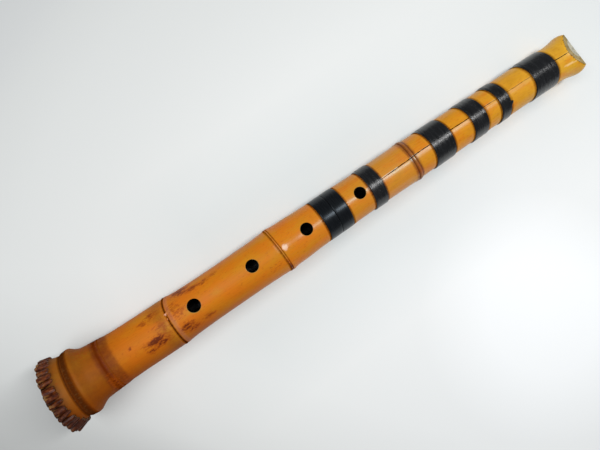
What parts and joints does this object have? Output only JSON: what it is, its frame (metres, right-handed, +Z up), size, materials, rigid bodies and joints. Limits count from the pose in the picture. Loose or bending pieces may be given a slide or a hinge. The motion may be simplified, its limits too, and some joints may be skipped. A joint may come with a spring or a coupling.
{
  "type": "shakuhachi flute",
  "caption": "End-blown bamboo flute with a curled root end, front finger holes, a thumb hole, black bands and a joint in the middle.",
  "frame": {"origin": "middle of the flute's footprint on the surface that it lies on", "axes": "+X from the root end to the blowing end, +Z up, with the front finger holes on top"},
  "size_m": [0.5484, 0.0634, 0.063],
  "materials": {
    "bamboo_root_half": "polished bamboo rind, honey brown, darker at the root",
    "bamboo_mouth_half": "polished bamboo rind, golden",
    "bore_lacquer": "dark lacquer on hardened paste",
    "tenon_bamboo": "matt oiled bamboo",
    "joint_band_black": "black lacquered binding, satin",
    "tape_black": "black vinyl tape with a soft sheen",
    "horn": "polished pale horn"
  },
  "bodies": {
    "lower_half": {"lower_culm": "bamboo_root_half", "lower_bore_lining": "bore_lacquer", "socket_liner": "bore_lacquer", "lower_joint_band": "joint_band_black"},
    "upper_half": {"upper_culm": "bamboo_mouth_half", "upper_bore_lining": "bore_lacquer", "tenon_sleeve": "tenon_bamboo", "upper_joint_band": "joint_band_black", "horn_inlay": "horn", "tape_band_1": "tape_black", "tape_band_2": "tape_black", "tape_band_3": "tape_black", "tape_band_4": "tape_black", "tape_band_5": "tape_black"}
  },
  "joints": [
    {"name": "joint_pull", "type": "slide", "parent": "lower_half", "child": "upper_half", "axis": [1, 0, 0], "range_m": [0, 0.022]}
  ]
}
